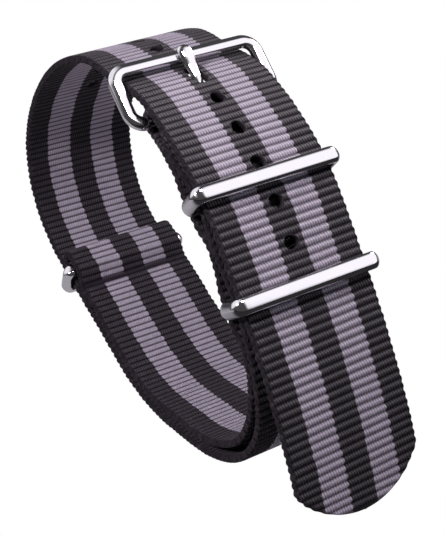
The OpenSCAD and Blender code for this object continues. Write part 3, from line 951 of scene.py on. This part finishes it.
def tang_eye(place):
    """The tang's roll round the pin."""
    a = np.radians(np.linspace(0, 360, 49)[:-1])
    r = PIN_R + PIN_GAP + TANG_T / 2
    zero = 0 * a
    circle = np.c_[zero, r * np.cos(a), r * np.sin(a)]
    away = turned(place, np.c_[zero, circle[:, 1:] / r])
    across = turned(place, np.c_[zero + 1, zero, zero])
    return sweep("tang_eye", place(circle), away, across, round_box(TANG_T, TANG_W, 0.25, 5))


at_pin = placer(0, WRAP_R)
tang_steel = join([tang_arm(at_pin), tang_eye(at_pin)], "tang_steel")
tang_steel.data.materials.append(steel_mat)
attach(tang_steel, "tang")
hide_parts("buckle_tang")
for piece in (main_web, second_web, hole_rims, weld_beads):
    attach(piece, "webbing")
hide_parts("main_strap")
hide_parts("secondary_strap")
pin = frame["nodes"]["pivot_pin"]
pin.data.materials.clear()
pin.data.materials.append(steel_mat)


# Studio: white to the camera, and to the steel a dark room with two white panels over a floor with a painted
# pool of dim light
def glow(k, kind, colour, strength):
    """An emission or a background of one colour."""
    return k.new(kind, {0: colour, 1: strength}).outputs[0]


def ray_switch(k, ray, other, seen):
    """One shader for a kind of ray and another for the rest."""
    path = k.new("LightPath").outputs[ray]
    return k.new("MixShader", {0: path, 1: other, 2: seen}).outputs[0]


def floor_material():
    """Pale to the light, white to the camera, and to the steel a painted pool of dim light round the strap,
    which glows only in reflections.
    """
    made, k, surface = material("pale_floor")
    finish_surface(k, surface, {"Base Color": (0.6, 0.6, 0.6, 1), "Roughness": 0.9})
    place = k.new("TexCoord").outputs["Object"]
    across_floor = k.new("SeparateXYZ", {0: place}).outputs[1]
    distance = k.new("VectorMath", {0: place}, operation="LENGTH").outputs["Value"]
    # Painted reflection: the floor glows for the steel's reflections, brighter round the strap and fading
    # away from it
    painted_light_pool = k.product(k.ramp(across_floor, -0.03, 0.015, 0.07, 1), k.ramp(distance, 0.12, 0.5, 0.42, 0.05))
    painted_floor_reflection = glow(k, "Emission", (0.9, 0.86, 0.93, 1), painted_light_pool)
    steely = ray_switch(k, "Is Glossy Ray", surface.outputs[0], painted_floor_reflection)
    seen = ray_switch(k, "Is Camera Ray", steely, glow(k, "Emission", (1, 1, 1, 1), 1.0))
    k.feed(k.tree.nodes["Material Output"].inputs[0], seen)
    return made


def panel(k, at, toward, edge, full, strength):
    """A soft white panel round a direction, edge and full in degrees from it."""
    facing = k.new("VectorMath", {0: at, 1: toward}, operation="DOT_PRODUCT").outputs["Value"]
    return k.ramp(facing, cosd(edge), cosd(full), 0.0, strength)


def studio_world():
    """White to the camera, a dark room with two white panels to the steel, and cool and even to the rest."""
    made = bpy.data.worlds.new("studio")
    made.use_nodes = True
    k = Nodes(made.node_tree)
    at = k.new("TexCoord").outputs["Generated"]
    right_panel = panel(k, at, (0.744, -0.446, 0.496), 48, 27, 1.12)
    rear_panel = panel(k, at, (-0.45, 0.55, 0.70), 49, 28, 0.9)
    bright = k.calc("ADD", k.calc("ADD", right_panel, rear_panel), 0.06)
    room = glow(k, "Background", (0.97, 0.95, 1, 1), bright)
    soft = glow(k, "Background", (0.74, 0.77, 1, 1), 0.15)
    glossy = ray_switch(k, "Is Glossy Ray", soft, room)
    white = ray_switch(k, "Is Camera Ray", glossy, glow(k, "Background", (1, 1, 1, 1), 1.0))
    k.feed(k.tree.nodes["World Output"].inputs[0], white)
    return made


def softbox(name, at, target, size, power, spread=180):
    light = bpy.data.lights.new(name, "AREA")
    light.spread = math.radians(spread)
    light.shape = "RECTANGLE"
    light.size, light.size_y = size
    light.energy = power
    light.color = (1, 0.95, 0.97)
    obj = bpy.data.objects.new(name, light)
    scene.collection.objects.link(obj)
    obj.location = at
    aim = Vector(np.array(target) - np.array(at))
    obj.rotation_euler = aim.to_track_quat("-Z", "Y").to_euler()
    return obj


scene = bpy.context.scene
bpy.ops.mesh.primitive_plane_add(size=6, location=(0, 0, 0))
floor = bpy.context.object
floor.name = "studio_floor"
floor.data.materials.append(floor_material())
scene.world = studio_world()

# The left box would glare on the buckle's steel, so it lights only the pieces linked here
left_box = softbox("left_box", (-0.18, -0.05, 0.18), (0, 0, 0.03), (0.035, 0.035), 0.56)
lit_from_left = bpy.data.collections.new("lit_from_left")
for piece in (floor, main_web, second_web, hole_rims, weld_beads, upper, lower, rear):
    lit_from_left.objects.link(piece)
left_box.light_linking.receiver_collection = lit_from_left
softbox("right_box", (0.2, 0.03, 0.16), (0, 0, 0.03), (0.08, 0.08), 0.16)
softbox("front_box", (0.0, -0.08, 0.17), (0, -0.024, 0.04), (0.04, 0.03), 0.014, spread=50)

# The camera, at the photograph's viewing angle
CAM_AT = np.array([-76.541, -153.040, 94.142]) * MM
CAM_AZ, CAM_EL, CAM_ROLL = 62.0886, -22.6468, 7.5
CAM_SENSOR, CAM_LENS = 36, 80.6


def camera_axes():
    """Right, up and back of the camera, from its azimuth, elevation and roll."""
    ahead = np.array([cosd(CAM_AZ) * cosd(CAM_EL), sind(CAM_AZ) * cosd(CAM_EL), sind(CAM_EL)])
    level = np.cross(ahead, [0, 0, 1])
    level /= np.linalg.norm(level)
    right = cosd(CAM_ROLL) * level - sind(CAM_ROLL) * np.cross(level, ahead)
    return right, np.cross(right, ahead), -ahead


def photo_camera():
    camera = bpy.data.cameras.new("camera")
    camera.sensor_width, camera.lens = CAM_SENSOR, CAM_LENS
    camera.clip_start, camera.clip_end = 0.01, 20
    obj = bpy.data.objects.new("camera", camera)
    scene.collection.objects.link(obj)
    pose = np.eye(4)
    pose[:3] = np.c_[(*camera_axes(), CAM_AT)]
    obj.matrix_world = Matrix(pose.tolist())
    return obj


scene.camera = photo_camera()
scene.view_settings.view_transform = "Standard"
